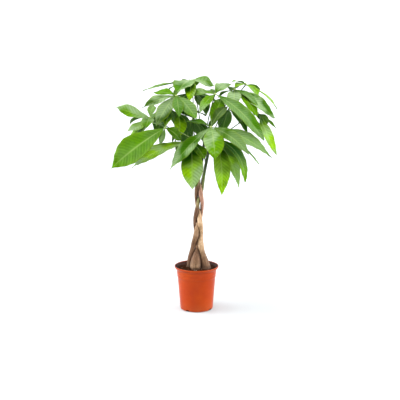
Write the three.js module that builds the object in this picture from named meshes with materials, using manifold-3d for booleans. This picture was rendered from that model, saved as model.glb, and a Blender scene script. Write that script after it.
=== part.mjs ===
// A potted money tree: three trunks plaited together in a plastic nursery pot, each ending
// in a green shoot that carries palmate fronds of four to eight leaflets.
//
// Millimetres, +Z up. The origin is the centre of the pot's flat underside, so the plant
// stands on z = 0. The front of the plant faces -Y and its right-hand side is +X.

import * as THREE from "three";
import { mergeVertices } from "three/addons/utils/BufferGeometryUtils.js";
import Module from "manifold-3d";

const wasm = await Module();
wasm.setup();

// Pieces that touch on the real plant keep this much air between them.
const GAP = 0.3;

// Pot, as [radius, height] points. Its outside rises from the rounded foot in a straight
// taper, takes two narrow steps and flares out to a rim with a rolled edge.
const POT_OUTSIDE = [
  [49, 0],
  [51.1, 1],
  [52, 4],
  [60, 104.5],
  [60.6, 105.5],
  [61, 115],
  [61.6, 116],
  [62, 125],
  [64, 129],
  [67.5, 133],
  [69.4, 136],
  [70, 138.5],
  [69.2, 140],
];
// Its inside, from the floor up: a wall 1.6 mm thick that thickens at the rim.
const POT_INSIDE = [
  [50.4, 3],
  [58.4, 104],
  [60.4, 126],
  [62.4, 131],
  [67, 136],
  [68, 140],
];
const POT_SEGMENTS = 40;
// Drain notches cut through the wall at its foot, by their bearing from +X in degrees.
const NOTCH_RADIUS = 5;
const NOTCH_LENGTH = 12;
const NOTCH_CENTRE = 52;
const NOTCH_BEARINGS = [57, 147, 237, 327];

// Soil: a bed a little below the rim, heaped towards the trunks, with an uneven top
const SOIL_EDGE_HEIGHT = 130;
const SOIL_CROWN = 4;
const SOIL_RINGS = 5;
const SOIL_LUMP = 1.4;
const SOIL_LUMP_EDGE = 0.9;

// Trunks: separate swollen feet that rise into a three-strand plait. The plait's middle
// stands at x = PLAIT_LEAN[0] at the foot and drifts to PLAIT_LEAN[1] at the top.
const PLAIT_START = 238;
const PLAIT_TOP = 402;
const PLAIT_PITCH = 245;
const PLAIT_WIDTH = 10;
const PLAIT_DEPTH = 11;
const PLAIT_LEAN = [3, 9.5];
const PLAIT_LEAN_START = 200;
const PLAIT_RADII = [5.6, 5.1];
const PLAIT_POINTS = 13;
const TRUNK_SIDES = 10;
const TRUNK_STEPS = 34;

// Each trunk: its turn in the plait (degrees at PLAIT_START), the swollen foot as
// [x, y, z, radius] from the root up, and its shoot as the same above the plait.
const TRUNKS = {
  trunk_left: {
    turn: -49,
    foot: [
      [-21, 18, 100, 12.5],
      [-20, 15, 128, 12.2],
      [-19.5, 12.5, 144, 11.2],
      [-18.5, 9, 160, 9.8],
      [-16.5, 6, 175, 8.2],
      [-13.5, 2, 192, 6.6],
      [-10, -3, 214, 6],
    ],
    shoot: [
      [2, 12, 440, 4.8],
      [-4, 20, 492, 4.4],
      [-5, 22, 546, 3.6],
    ],
  },
  trunk_middle: {
    turn: -169,
    foot: [
      [-3.5, -16, 108, 13],
      [-3.5, -15.5, 126, 15.6],
      [-3.5, -14.5, 140, 16],
      [-3, -12.5, 154, 14.6],
      [-1.5, -9, 170, 11.4],
      [1, -2, 190, 6.8],
      [2, 6, 212, 5.8],
    ],
    shoot: [
      [25, 6, 440, 4.8],
      [35, 10, 490, 4.4],
      [43, 14, 540, 3.6],
    ],
  },
  trunk_right: {
    turn: 71,
    foot: [
      [32, -6, 100, 17],
      [30.5, -6, 128, 16.5],
      [29, -6, 142, 13.8],
      [25.5, -5.5, 158, 11],
      [21.5, -4.5, 174, 8.8],
      [17.5, -2.5, 192, 7],
      [14.5, -1, 214, 6.2],
    ],
    shoot: [
      [9, -12, 440, 4.8],
      [19, -16, 490, 4.4],
      [25, -20, 556, 3.6],
    ],
  },
};

// Fronds. Each has its trunk's name, the height at which its stalk leaves that trunk's
// shoot, the knuckle its leaflets spread from, and its leaflets as
// [tip x, tip y, tip z, width, roll in degrees, arch]: a positive roll lifts the
// right-hand edge, seen along the leaflet from above, and the arch is a share of the
// length. A frond with a fan instead has its leaflets spread by rule round a heading,
// with its angles in degrees, the heading from +X.
const FRONDS = {
  frond_front: {
    trunk: "trunk_right",
    foot: 532,
    knuckle: [44, -90, 590],
    leaflets: [
      [55, -190, 505, 62, 0],
      [-77, -150, 471, 60, 15, 0.05],
      [-37, -60, 602, 38, 10],
      [79, -5, 671, 42, -15],
      [96, -45, 648, 36, -15],
      [223, -130, 503, 58, -22],
      [154, -170, 519, 50, -18],
      [184, -150, 487, 26, 8, 0.07],
    ],
  },
  frond_top: {
    trunk: "trunk_right",
    foot: 548,
    knuckle: [57, -20, 683],
    leaflets: [
      [102, 60, 708, 46, -8],
      [201, -110, 552, 58, -20],
      [-47, 10, 671, 42, 25],
      [10, -90, 632, 32, 10],
      [-6, 88, 672, 34, 0],
      [60, 90, 680, 34, 0],
    ],
  },
  frond_top_left: {
    trunk: "trunk_left",
    foot: 540,
    knuckle: [-14, 32, 721],
    leaflets: [
      [-164, 15, 691, 40, 0, 0.02],
      [-54, -75, 691, 66, 0],
      [-88, 90, 688, 44, 20, 0.05],
      [-8, 130, 690, 38, 0],
      [56, 66, 702, 44, -42],
      [-72, 10, 668, 36, 10],
      [-20, -50, 664, 36, 0],
    ],
  },
  frond_left_high: {
    trunk: "trunk_left",
    foot: 527,
    knuckle: [-60, -60, 681],
    leaflets: [
      [-117, -150, 599, 44, 20],
      [-159, -100, 648, 46, 20, 0.06],
      [-132, 10, 684, 34, 28, 0.07],
      [1, -110, 614, 44, -25],
      [-50, -140, 625, 34, 0],
    ],
  },
  frond_left_far: {
    trunk: "trunk_left",
    foot: 500,
    knuckle: [-142, -10, 610],
    leaflets: [
      [-244, -40, 645, 50, 42, -0.02],
      [-206, -90, 577, 36, 15, -0.06],
      [-135, 50, 642, 28, 0],
      [-150, -80, 586, 40, 0],
      [-202, -30, 522, 44, 20],
      [-210, 55, 583, 38, 0],
    ],
  },
  frond_left_low: {
    trunk: "trunk_right",
    foot: 512,
    knuckle: [-92, -110, 590],
    leaflets: [
      [-251, -150, 474, 86, 50, 0.06],
      [-48, -98, 550, 46, -45, 0.12],
      [-108, -120, 541, 18, 60],
      [-131, -60, 596, 30, 0],
      [-79, -60, 629, 28, 0],
    ],
  },
  frond_left_inner: {
    trunk: "trunk_left",
    foot: 514,
    knuckle: [-57, 20, 623],
    leaflets: [
      [-52, -25, 553, 44, 20],
      [0, 70, 588, 40, -30],
      [-112, 45, 580, 34, 0],
      [-24, 78, 556, 34, 0],
      [30, 80, 606, 38, -10],
    ],
  },
  frond_low_left: {
    trunk: "trunk_right",
    foot: 486,
    knuckle: [-15, -55, 541],
    leaflets: [
      [-190, -130, 474, 58, 20],
      [-12, -110, 404, 67, 0],
      [-3, -60, 402, 40, 0],
      [-60, 15, 495, 40, 0],
      [26, -80, 489, 44, -15],
    ],
  },
  frond_low_right: {
    trunk: "trunk_middle",
    foot: 476,
    knuckle: [62, -30, 548],
    leaflets: [
      [77, -90, 384, 56, 10],
      [148, -70, 420, 52, -10, 0.2],
      [131, -15, 393, 52, 30],
      [150, 50, 460, 38, 0],
      [92, 55, 452, 40, 0],
    ],
  },
  frond_right: {
    trunk: "trunk_middle",
    foot: 531,
    knuckle: [118, 20, 694],
    leaflets: [
      [239, -22, 609, 58, -24, 0.06],
      [186, -22, 647, 36, -10],
      [184, -48, 615, 40, -10],
      [113, -50, 647, 44, 0],
      [112, 125, 680, 36, 0],
      [66, 40, 664, 42, 0],
      [212, 62, 640, 36, 0],
    ],
  },
  frond_right_high: {
    trunk: "trunk_middle",
    foot: 515,
    knuckle: [154, 60, 706],
    leaflets: [
      [108, 20, 717, 26, 0],
      [119, 0, 700, 28, 0],
      [191, 20, 676, 34, 0],
      [253, 60, 629, 36, -6, 0.09],
      [200, 150, 670, 36, 0],
      [130, 150, 690, 34, 0],
    ],
  },
  frond_right_far: {
    trunk: "trunk_middle",
    foot: 504,
    knuckle: [192, 40, 619],
    leaflets: [
      [250, 20, 491, 40, -30, -0.01],
      [254, 80, 564, 22, 0, 0.03],
      [128, 0, 589, 30, 0],
      [222, 112, 568, 36, 0],
    ],
  },
  frond_back: {
    trunk: "trunk_middle",
    foot: 461,
    knuckle: [-5, 130, 674],
    fan: { heading: 92, spread: 290, count: 8, length: 140, droop: 27 },
  },
  frond_back_left: {
    trunk: "trunk_left",
    foot: 473,
    knuckle: [-92, 120, 628],
    fan: { heading: 135, spread: 210, count: 6, length: 150, droop: 40 },
  },
  frond_back_right: {
    trunk: "trunk_middle",
    foot: 490,
    knuckle: [105, 135, 622],
    leaflets: [
      [161, 79, 550, 36, 0],
      [222, 105, 556, 40, 10],
      [214, 192, 528, 44, 0],
      [84, 242, 528, 46, -5],
      [40, 212, 538, 40, 8],
      [44, 176, 566, 34, 0],
    ],
  },
  frond_back_low: {
    trunk: "trunk_left",
    foot: 458,
    knuckle: [-12, 100, 594],
    fan: { heading: 86, spread: 224, count: 6, length: 138, droop: 48 },
  },
};

// A fan's leaflets: the length left at its sides, and how far the draw moves the length,
// the droop and the roll; widths follow the length.
const FAN_SIDE_LENGTH = 0.55;
const FAN_LENGTH_SPREAD = 0.05;
const FAN_DROOP_SPREAD = 9;
const FAN_ROLL_SPREAD = 12;
const FAN_WIDTH = 0.34;

// Stalks: a heel a little thicker than the stalk, and a curve that bends at a share of
// the way to the knuckle, lifted by a share of the span.
const STALK_RADIUS = 1.7;
const STALK_HEEL = 1.15;
const STALK_BEND = 0.35;
const STALK_RISE = 0.16;
const STALK_SIDES = 5;
const STALK_STEPS = 6;
const STALK_POINTS = 5;
const STALK_CLEAR = 10;
const STALK_PASSES = 3;
const KNUCKLE_RADIUS = 4.5;

// Leaflets: one arched, shallow-folded blade each, with rows at these shares of its length
const BLADE_THICKNESS = 0.8;
const BLADE_STATIONS = [0, 0.12, 0.3, 0.5, 0.7, 0.87];
const BLADE_ROOT = 1.5;
const BLADE_ARCH = 0.09;
const BLADE_FOLD = 0.16;
// The outline's half width is a sine over the length raised to BLADE_DRAWN_OUT, which
// moves its widest place past the middle, then raised to BLADE_FULLNESS.
const BLADE_DRAWN_OUT = 1.15;
const BLADE_FULLNESS = 0.95;
// The edges wave by a share of the width, this many radians over the length.
const BLADE_WAVE = 0.045;
const BLADE_WAVE_TURN = 9;
const BLADE_WAVE_SKEW = 2;
const BLADE_WAVE_START = 0.3;

const COLOURS = {
  pot: 0xc65229,
  soil: 0x3a2018,
  bark: 0xa38563,
  leaf: 0x6ba32b,
};

const Z = new THREE.Vector3(0, 0, 1);

function smooth(from, to, value) {
  const t = THREE.MathUtils.clamp((value - from) / (to - from), 0, 1);
  return t * t * (3 - 2 * t);
}

// A repeatable draw between -1 and 1.
function draw(seed) {
  const n = Math.sin(seed * 12.9898) * 43758.5453;
  return 2 * (n - Math.floor(n)) - 1;
}

// A closed geometry as a solid, for joining and cutting.
function solid(geometry) {
  const bare = geometry.clone();
  bare.deleteAttribute("normal");
  bare.deleteAttribute("uv");
  const merged = mergeVertices(bare, 1e-4);
  return new wasm.Manifold(
    new wasm.Mesh({
      numProp: 3,
      vertProperties: merged.attributes.position.array,
      triVerts: new Uint32Array(merged.index.array),
    }),
  );
}

function geometryOf(body) {
  const mesh = body.getMesh();
  const geometry = new THREE.BufferGeometry();
  geometry.setAttribute("position", new THREE.BufferAttribute(mesh.vertProperties, 3));
  geometry.setIndex(new THREE.BufferAttribute(mesh.triVerts, 1));
  geometry.computeVertexNormals();
  return geometry;
}

// Turns a solid with its axis on Y into one that stands on Z.
function upright(geometry) {
  return geometry.rotateX(Math.PI / 2);
}

// The middle of a strand where the three are plaited, at height z: seen from above it
// goes round a figure of eight, so each strand passes over one and under the other.
function plaitPoint(turn, z) {
  const angle = THREE.MathUtils.degToRad(turn + (360 * (z - PLAIT_START)) / PLAIT_PITCH);
  const middle = THREE.MathUtils.lerp(...PLAIT_LEAN, smooth(PLAIT_LEAN_START, PLAIT_TOP, z));
  return [
    middle + PLAIT_WIDTH * Math.sin(angle),
    PLAIT_DEPTH * Math.sin(2 * angle),
    z,
    THREE.MathUtils.lerp(...PLAIT_RADII, smooth(PLAIT_START, PLAIT_TOP, z)),
  ];
}

// The curves of a limb's middle and of its radius, through [x, y, z, radius] points.
function spine(points) {
  const curve = (vectors) => new THREE.CatmullRomCurve3(vectors, false, "centripetal");
  return {
    path: curve(points.map(([x, y, z]) => new THREE.Vector3(x, y, z))),
    radii: curve(points.map((point, i) => new THREE.Vector3(point[3], i, 0))),
  };
}

// A tapered limb through [x, y, z, radius] points, closed at both ends.
function limb(points, sides, steps, grow = 0) {
  const { path, radii } = spine(points);
  const geometry = new THREE.CylinderGeometry(1, 1, 1, sides, steps);
  const place = geometry.attributes.position;
  for (let i = 0; i < place.count; i++) {
    const t = place.getY(i) + 0.5;
    const centre = path.getPoint(t);
    const tangent = path.getTangent(t);
    const across = new THREE.Vector3(1, 0, 0).addScaledVector(tangent, -tangent.x).normalize();
    const back = new THREE.Vector3().crossVectors(tangent, across);
    const radius = radii.getPoint(t).x + grow;
    centre.addScaledVector(across, radius * place.getX(i));
    centre.addScaledVector(back, -radius * place.getZ(i));
    place.setXYZ(i, centre.x, centre.y, centre.z);
  }
  return geometry;
}

function trunkPoints({ turn, foot, shoot }) {
  const strand = [];
  for (let i = 0; i < PLAIT_POINTS; i++) {
    const z = THREE.MathUtils.lerp(PLAIT_START, PLAIT_TOP, i / (PLAIT_POINTS - 1));
    strand.push(plaitPoint(turn, z));
  }
  return [...foot, ...strand, ...shoot];
}

// A body turned round the pot's middle, from its [radius, height] outline.
function turned(outline) {
  const points = outline.map(([radius, height]) => new THREE.Vector2(radius, height));
  return upright(new THREE.LatheGeometry(points, POT_SEGMENTS));
}

function potSolid() {
  const [[, floor]] = POT_INSIDE;
  const outline = [[0, 0], ...POT_OUTSIDE, ...POT_INSIDE.toReversed(), [0, floor]];
  let pot = solid(turned(outline));
  for (const bearing of NOTCH_BEARINGS) {
    const notch = new THREE.CylinderGeometry(NOTCH_RADIUS, NOTCH_RADIUS, NOTCH_LENGTH, 12);
    notch.rotateZ(Math.PI / 2);
    notch.translate(NOTCH_CENTRE, 0, 0);
    notch.rotateZ(THREE.MathUtils.degToRad(bearing));
    pot = pot.subtract(solid(notch));
  }
  return pot;
}

// The soil's outline: up the inside of the pot to its edge, then in rings to the middle.
function soilOutline() {
  const below = POT_INSIDE.filter(([, height]) => height < SOIL_EDGE_HEIGHT);
  const [last, next] = [below.at(-1), POT_INSIDE[below.length]];
  const share = (SOIL_EDGE_HEIGHT - last[1]) / (next[1] - last[1]);
  const edge = THREE.MathUtils.lerp(last[0], next[0], share) - GAP;
  const floor = below[0][1] + GAP;
  const outline = [
    [0, floor],
    [below[0][0] - GAP, floor],
    ...below.slice(1).map(([radius, height]) => [radius - GAP, height]),
  ];
  for (let ring = 0; ring <= SOIL_RINGS; ring++) {
    const inwards = ring / SOIL_RINGS;
    outline.push([edge * (1 - inwards), SOIL_EDGE_HEIGHT + SOIL_CROWN * inwards]);
  }
  return { outline, edge };
}

// How far the soil's top stands up at x, y, from -1.5 to 1.5.
function lumpAt(x, y) {
  const broad = Math.sin(0.11 * x - 0.23 * y) / 2;
  const fine = Math.sin(0.31 * x + 1) * Math.cos(0.37 * y);
  return broad + fine;
}

function soilSolid() {
  const { outline, edge } = soilOutline();
  const bed = turned(outline);
  const place = bed.attributes.position;
  for (let i = 0; i < place.count; i++) {
    const [x, y, z] = [place.getX(i), place.getY(i), place.getZ(i)];
    const onTop = z >= SOIL_EDGE_HEIGHT && Math.hypot(x, y) < SOIL_LUMP_EDGE * edge;
    if (onTop) place.setZ(i, z + SOIL_LUMP * lumpAt(x, y));
  }
  let soil = solid(bed);
  for (const trunk of Object.values(TRUNKS)) {
    const [[x, y, z, radius], ...rest] = trunkPoints(trunk);
    const deeper = [[x, y, z - 2 * GAP, radius], ...rest];
    soil = soil.subtract(solid(limb(deeper, TRUNK_SIDES, TRUNK_STEPS, GAP)));
  }
  return soil;
}

// Half of a leaflet's width along its length: a wedge at the root, widest just past the
// middle, drawn out to a point.
function halfWidth(width, t) {
  const swell = Math.sin(Math.PI * t ** BLADE_DRAWN_OUT) ** BLADE_FULLNESS;
  return Math.max(BLADE_ROOT, (width / 2) * swell);
}

// A leaflet from its root to its tip: an arched midrib with a blade folded a little
// upwards along it and waved at its edges.
function blade(root, tip, width, rollDegrees, bow, seed) {
  const chord = tip.clone().sub(root);
  const length = chord.length();
  chord.normalize();
  const up = Z.clone().addScaledVector(chord, -chord.z).normalize();
  const right = new THREE.Vector3().crossVectors(chord, up);
  const roll = THREE.MathUtils.degToRad(rollDegrees);
  const side = right.clone().multiplyScalar(Math.cos(roll)).addScaledVector(up, Math.sin(roll));
  const face = up.clone().multiplyScalar(Math.cos(roll)).addScaledVector(right, -Math.sin(roll));
  const arch = bow * length;
  // The place at a share t of the length and q of the half width, -1 to 1 across.
  const point = (t, q, lift) => {
    const edge = halfWidth(width, t) * q;
    const ripple = Math.sin(BLADE_WAVE_TURN * t + BLADE_WAVE_SKEW * q + seed) * Math.abs(q);
    const wave = BLADE_WAVE * width * ripple * smooth(0, BLADE_WAVE_START, t);
    const slope = (4 * arch * (1 - 2 * t)) / length;
    const normal = face.clone().addScaledVector(chord, -slope).normalize();
    return root
      .clone()
      .addScaledVector(chord, length * t)
      .addScaledVector(face, 4 * arch * t * (1 - t))
      .addScaledVector(side, edge)
      .addScaledVector(normal, BLADE_FOLD * Math.abs(edge) + wave + lift);
  };
  return sheet(point, BLADE_STATIONS, BLADE_THICKNESS);
}

// A thin closed sheet: rows of left edge, middle and right edge that end in one point,
// with the upper and the under side split into the same triangles.
function sheet(point, stations, thickness) {
  const places = [];
  for (const lift of [thickness / 2, -thickness / 2]) {
    for (const t of stations) {
      for (const q of [-1, 0, 1]) places.push(point(t, q, lift));
    }
    places.push(point(1, 0, lift));
  }
  const under = places.length / 2;
  const rows = stations.length;
  const end = under - 1;
  const faces = [];
  const both = (a, b, c) => faces.push(a, b, c, under + a, under + c, under + b);
  const wall = (a, b) => faces.push(a, under + a, under + b, a, under + b, b);
  for (let row = 0; row + 1 < rows; row++) {
    const here = 3 * row;
    const next = here + 3;
    both(here, here + 1, next + 1);
    both(here, next + 1, next);
    both(here + 1, here + 2, next + 1);
    both(here + 2, next + 2, next + 1);
    wall(next, here);
    wall(here + 2, next + 2);
  }
  const last = 3 * (rows - 1);
  both(last, last + 1, end);
  both(last + 1, last + 2, end);
  wall(end, last);
  wall(last + 2, end);
  wall(0, 1);
  wall(1, 2);
  const geometry = new THREE.BufferGeometry();
  geometry.setFromPoints(places);
  geometry.setIndex(faces);
  return geometry;
}

// The middle of a trunk's shoot at height z.
function shootAt(trunk, z) {
  const { path } = spine(trunkPoints(trunk));
  let [low, high] = [0, 1];
  while (high - low > 1e-6) {
    const t = (low + high) / 2;
    if (path.getPoint(t).z < z) low = t;
    else high = t;
  }
  return path.getPoint(low);
}

// A stalk leaves its shoot upwards and outwards, with its heel this far from the shoot's
// middle, and arches to the knuckle.
function stalkPoints({ trunk, foot, knuckle }, away) {
  const core = shootAt(TRUNKS[trunk], foot);
  const end = new THREE.Vector3(...knuckle);
  const out = end.clone().sub(core).setZ(0).normalize();
  const span = end.distanceTo(core);
  const bend = core.clone().lerp(end, STALK_BEND).addScaledVector(Z, STALK_RISE * span);
  const start = core.addScaledVector(out, away);
  const curve = new THREE.QuadraticBezierCurve3(start, bend, end);
  return curve
    .getPoints(STALK_POINTS - 1)
    .map((p, i) => [p.x, p.y, p.z, STALK_RADIUS * (i ? 1 : STALK_HEEL)]);
}

// A frond's stalk, slid in from well clear of its shoot until GAP is left at its heel.
function stalkSolid(frond) {
  const shoot = solid(limb(trunkPoints(TRUNKS[frond.trunk]), TRUNK_SIDES, TRUNK_STEPS));
  const stalkAt = (away) => solid(limb(stalkPoints(frond, away), STALK_SIDES, STALK_STEPS));
  let away = STALK_CLEAR;
  for (let pass = 0; pass < STALK_PASSES; pass++) {
    away += GAP - stalkAt(away).minGap(shoot, STALK_CLEAR);
  }
  return stalkAt(away);
}

// Leaflet tips spread by rule: longest along the heading, shorter towards the sides.
function fanOf({ knuckle, foot, fan }) {
  const leaflets = [];
  for (let i = 0; i < fan.count; i++) {
    const seed = foot + i;
    const turn = fan.spread * (i / (fan.count - 1) - 0.5);
    const bearing = THREE.MathUtils.degToRad(fan.heading + turn);
    const droop = THREE.MathUtils.degToRad(fan.droop + FAN_DROOP_SPREAD * draw(seed));
    const forward = Math.cos(THREE.MathUtils.degToRad(turn / 2)) ** 2;
    const share = THREE.MathUtils.lerp(FAN_SIDE_LENGTH, 1, forward);
    const length = fan.length * (share + FAN_LENGTH_SPREAD * draw(seed + 0.5));
    const reach = length * Math.cos(droop);
    leaflets.push([
      knuckle[0] + reach * Math.cos(bearing),
      knuckle[1] + reach * Math.sin(bearing),
      knuckle[2] - length * Math.sin(droop),
      FAN_WIDTH * length,
      FAN_ROLL_SPREAD * draw(seed + 0.25),
    ]);
  }
  return leaflets;
}

function frondSolid(frond) {
  const knuckle = new THREE.Vector3(...frond.knuckle);
  const knob = new THREE.IcosahedronGeometry(KNUCKLE_RADIUS).translate(...frond.knuckle);
  let body = stalkSolid(frond).add(solid(knob));
  const leaflets = frond.leaflets ?? fanOf(frond);
  leaflets.forEach(([x, y, z, width, roll, bow = BLADE_ARCH], i) => {
    const tip = new THREE.Vector3(x, y, z);
    const out = tip.clone().sub(knuckle).normalize();
    const root = knuckle.clone().addScaledVector(out, KNUCKLE_RADIUS / 2);
    body = body.add(solid(blade(root, tip, width, roll, bow, i)));
  });
  return body;
}

const plant = new THREE.Group();

function add(name, geometry, colour, roughness) {
  const material = new THREE.MeshStandardMaterial({ color: colour, roughness, metalness: 0 });
  const mesh = new THREE.Mesh(geometry, material);
  mesh.name = name;
  plant.add(mesh);
}

add("pot", geometryOf(potSolid()), COLOURS.pot, 0.45);
add("soil", geometryOf(soilSolid()), COLOURS.soil, 0.95);
for (const [name, trunk] of Object.entries(TRUNKS)) {
  add(name, limb(trunkPoints(trunk), TRUNK_SIDES, TRUNK_STEPS), COLOURS.bark, 0.8);
}
for (const [name, frond] of Object.entries(FRONDS)) {
  add(name, geometryOf(frondSolid(frond)), COLOURS.leaf, 0.5);
}

export default plant;
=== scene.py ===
"""Looks of the potted money tree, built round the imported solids.

The plant's shape follows the same rules as the part's source, so each length below is in
millimetres, as there, and is scaled to metres when a mesh is made.
"""

from math import cos, floor, pi, radians, sin, sqrt

import bpy
import numpy as np
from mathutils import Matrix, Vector
from mathutils.bvhtree import BVHTree


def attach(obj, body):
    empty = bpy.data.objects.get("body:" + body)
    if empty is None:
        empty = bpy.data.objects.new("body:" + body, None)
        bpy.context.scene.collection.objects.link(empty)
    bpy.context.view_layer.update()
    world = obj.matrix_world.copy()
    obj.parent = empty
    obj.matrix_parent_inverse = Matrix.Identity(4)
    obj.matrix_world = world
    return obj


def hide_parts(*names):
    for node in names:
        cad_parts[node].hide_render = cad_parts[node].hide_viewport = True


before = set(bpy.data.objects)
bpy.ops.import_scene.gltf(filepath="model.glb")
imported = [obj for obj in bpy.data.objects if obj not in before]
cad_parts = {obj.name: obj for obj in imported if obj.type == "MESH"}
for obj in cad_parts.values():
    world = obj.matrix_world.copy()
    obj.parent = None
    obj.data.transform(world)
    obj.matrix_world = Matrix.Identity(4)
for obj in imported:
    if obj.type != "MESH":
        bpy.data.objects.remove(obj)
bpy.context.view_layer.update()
scene = bpy.context.scene

MM = 0.001
UP = np.array([0.0, 0.0, 1.0])

# Pot: [radius, height] up the outside, over the rim and down the inside to the soil.
POT_PROFILE = [
    [0, 0], [44, 0], [48.6, 0.1], [50.3, 0.5], [51.2, 1.3], [51.8, 3], [52.1, 5.5],
    [53.7, 26], [55.6, 50], [57.5, 74], [59.2, 94], [59.9, 103.6], [60.3, 104.4],
    [60.9, 104.9], [61.1, 105.8], [61.3, 110], [61.5, 114.6], [61.8, 115.2], [62.2, 115.6],
    [62.3, 116.4], [62.4, 121], [62.8, 125], [63.8, 128.2], [65.4, 130.8], [67.3, 132.9],
    [68.9, 134.6], [69.8, 136.4], [70.1, 138], [69.9, 139.3], [69.2, 139.9], [68.4, 139.8],
    [67.9, 139], [67.3, 136.8], [65.8, 134.6], [63.4, 132], [61.6, 129.4], [60.4, 126],
    [58.4, 104], [50.4, 3], [0, 3],
]
POT_SEGMENTS = 160
# Edges sharper than this, in degrees, stay sharp.
POT_CORNER = 40
# Between these heights inside the rim, the near-black band on the inner wall sets in.
INNER_DARK_HEIGHTS = (140.5, 136)
# Drain notches: the cylinder that cuts each, stretched up and sideways, how far from the
# pot's axis its flat end lies, and where round the pot they stand.
NOTCH_RADIUS = 5
NOTCH_LENGTH = 24
NOTCH_STRETCH = (1.1, 1.5)
NOTCH_BACK = 49.5
NOTCH_BEARINGS = [57, 147, 237, 327]

SOIL_RADIUS = 61.4
SOIL_EDGE_HEIGHT = 130
SOIL_CROWN = 4
# [radius, height] up the side of the soil, under its top edge.
SOIL_WALL = [[50.1, 3.3], [58.1, 104], [60.1, 126]]
SOIL_RINGS = 34
SOIL_SIDES = 120
CRUMBS = 900
GRIT_EVERY = 23

# Plait and trunks, as in the part's source: [x, y, z, radius] points. Dark, rosy and green
# tint the bark: [height, amount] points.
PLAIT_START = 238
PLAIT_TOP = 402
PLAIT_PITCH = 245
PLAIT_WIDTH = 10
PLAIT_DEPTH = 11
PLAIT_LEAN = [3, 9.5]
PLAIT_LEAN_START = 200
PLAIT_RADII = [5.6, 5.1]
PLAIT_POINTS = 13
TRUNKS = {
    "left": {
        "turn": -49,
        "foot": [
            [-21, 18, 100, 12.5], [-20, 15, 128, 12.2], [-19.5, 12.5, 144, 11.2],
            [-18.5, 9, 160, 9.8], [-16.5, 6, 175, 8.2], [-13.5, 2, 192, 6.6],
            [-10, -3, 214, 6],
        ],
        "shoot": [[2, 12, 440, 4.8], [-4, 20, 492, 4.4], [-5, 22, 546, 3.6]],
        "dark": [[140, 0.97], [165, 1], [215, 0.92], [250, 0.65], [275, 0.1]],
        "rosy": [[290, 0], [325, 0.9], [385, 0.8], [410, 0]],
        "green": [[385, 0], [430, 1]],
    },
    "middle": {
        "turn": -169,
        "foot": [
            [-3.5, -16, 108, 13], [-3.5, -15.5, 126, 15.6], [-3.5, -14.5, 140, 16],
            [-3, -12.5, 154, 14.6], [-1.5, -9, 170, 11.4], [1, -2, 190, 6.8],
            [2, 6, 212, 5.8],
        ],
        "shoot": [[25, 6, 440, 4.8], [35, 10, 490, 4.4], [43, 14, 540, 3.6]],
        "dark": [
            [140, 0.64], [155, 0.9], [180, 0.97], [215, 0.75], [262, 1], [325, 0.95],
            [345, 0.3],
        ],
        "green": [[325, 0], [350, 0.7], [400, 0.8], [430, 1]],
    },
    "right": {
        "turn": 71,
        "foot": [
            [32, -6, 100, 17], [30.5, -6, 128, 16.5], [29, -6, 142, 13.8],
            [25.5, -5.5, 158, 11], [21.5, -4.5, 174, 8.8], [17.5, -2.5, 192, 7],
            [14.5, -1, 214, 6.2],
        ],
        "shoot": [[9, -12, 440, 4.8], [19, -16, 490, 4.4], [25, -20, 556, 3.6]],
        "dark": [
            [140, 0.95], [180, 0.7], [205, 0.12], [310, 0], [345, 0.9], [395, 0.9], [415, 0.4],
        ],
        "green": [[395, 0], [435, 1]],
    },
}

# How far the strands swell towards each other: [height, share of radius].
PRESSED = [
    [140, 0.3], [170, 0.6], [186, 1.1], [205, 1.0], [222, 0.75], [300, 0.75], [320, 0.1],
    [358, 0.1], [372, 0.85], [398, 0.7], [425, 0],
]
# How far they swell all round: share of the radius, between which heights it sets in, and
# between which it ends.
PLAIT_SWELLS = [[0.07, 205, 240, 400, 440], [0.1, 225, 245, 295, 320]]
# How softly a strand flattens against another, how far it goes past the middle between
# them, and the room it has where no other strand faces it.
PRESS_SOFTNESS = 0.5
PRESS_OVERLAP = 0.05
OPEN_ROOM = 99.0

TRUNK_ROWS = 420
TRUNK_SIDES = 40
# How far the grain turns round a trunk, in radians a millimetre.
BARK_TWIST = 0.012
# Leaf scars on a shoot: how many, from which height, how far apart, how unevenly, up to
# which height, and the turn from one to the next in radians.
SCARS = 7
SCAR_START = 412
SCAR_STEP = 19
SCAR_SCATTER = 6
SCAR_TOP = 538
SCAR_TURN = 2.4
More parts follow.
